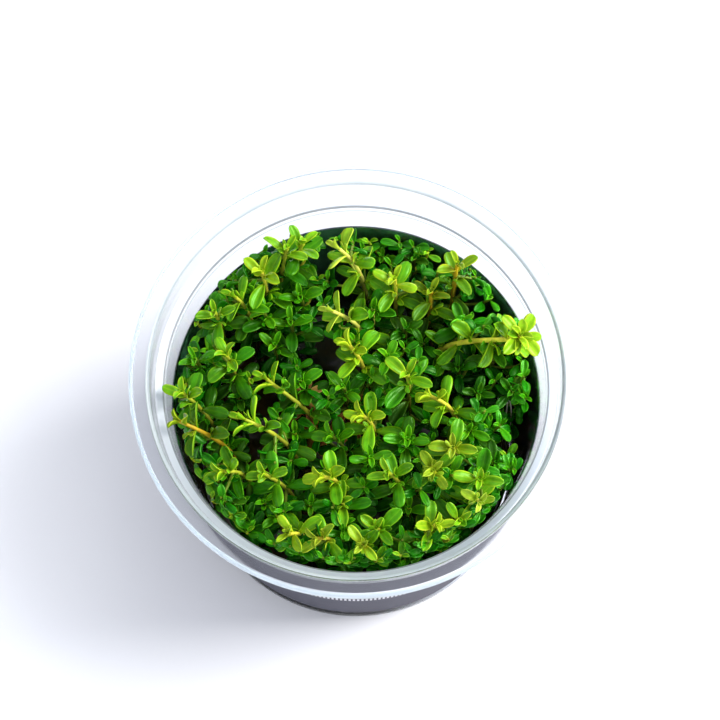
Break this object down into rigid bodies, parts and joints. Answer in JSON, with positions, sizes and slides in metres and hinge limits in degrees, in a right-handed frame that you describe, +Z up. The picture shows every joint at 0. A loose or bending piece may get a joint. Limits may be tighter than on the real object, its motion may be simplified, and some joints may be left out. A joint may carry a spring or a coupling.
{
  "type": "dwarf rotala in culture cup",
  "caption": "Dwarf rotala shoots rooted in culture gel inside an open clear round cup with a dark printed sleeve.",
  "frame": {"origin": "centre of the cup foot on the surface it stands on, bottom centre of the bounding box", "axes": "+Z up along the cup axis, +Y away from the camera, +X to the right in the picture"},
  "size_m": [0.101, 0.101, 0.0702],
  "materials": {
    "clear_plastic": "clear injection-moulded polypropylene, smooth and glossy",
    "printed_sleeve": "satin dark slate-grey printed sleeve",
    "gel": "wet glossy culture gel, dark with roots and dead leaf",
    "rotala_leaf": "living leaf, waxy, bright yellow-green at the tips and darker below"
  },
  "bodies": {
    "root": {"cup": "clear_plastic", "label_sleeve": "printed_sleeve", "culture_gel": "gel", "shoot_01": "rotala_leaf", "shoot_02": "rotala_leaf", "shoot_03": "rotala_leaf", "shoot_04": "rotala_leaf", "shoot_05": "rotala_leaf", "shoot_06": "rotala_leaf", "shoot_07": "rotala_leaf", "shoot_08": "rotala_leaf", "shoot_09": "rotala_leaf", "shoot_10": "rotala_leaf", "shoot_11": "rotala_leaf", "shoot_12": "rotala_leaf", "shoot_13": "rotala_leaf", "shoot_14": "rotala_leaf", "shoot_15": "rotala_leaf", "shoot_16": "rotala_leaf", "shoot_17": "rotala_leaf", "shoot_18": "rotala_leaf", "shoot_19": "rotala_leaf", "shoot_20": "rotala_leaf", "shoot_21": "rotala_leaf", "shoot_22": "rotala_leaf", "shoot_23": "rotala_leaf", "shoot_24": "rotala_leaf", "shoot_25": "rotala_leaf", "shoot_26": "rotala_leaf", "shoot_27": "rotala_leaf", "shoot_28": "rotala_leaf", "shoot_29": "rotala_leaf", "shoot_30": "rotala_leaf", "shoot_31": "rotala_leaf", "shoot_32": "rotala_leaf", "shoot_33": "rotala_leaf", "shoot_34": "rotala_leaf", "shoot_35": "rotala_leaf", "shoot_36": "rotala_leaf", "shoot_37": "rotala_leaf", "shoot_38": "rotala_leaf", "shoot_39": "rotala_leaf", "shoot_40": "rotala_leaf", "shoot_41": "rotala_leaf", "shoot_42": "rotala_leaf", "shoot_43": "rotala_leaf", "shoot_44": "rotala_leaf", "shoot_45": "rotala_leaf", "shoot_46": "rotala_leaf", "shoot_47": "rotala_leaf", "shoot_48": "rotala_leaf", "shoot_49": "rotala_leaf", "shoot_50": "rotala_leaf", "shoot_51": "rotala_leaf", "shoot_52": "rotala_leaf", "shoot_53": "rotala_leaf", "shoot_54": "rotala_leaf", "shoot_55": "rotala_leaf", "shoot_56": "rotala_leaf", "shoot_57": "rotala_leaf"}
  },
  "joints": []
}
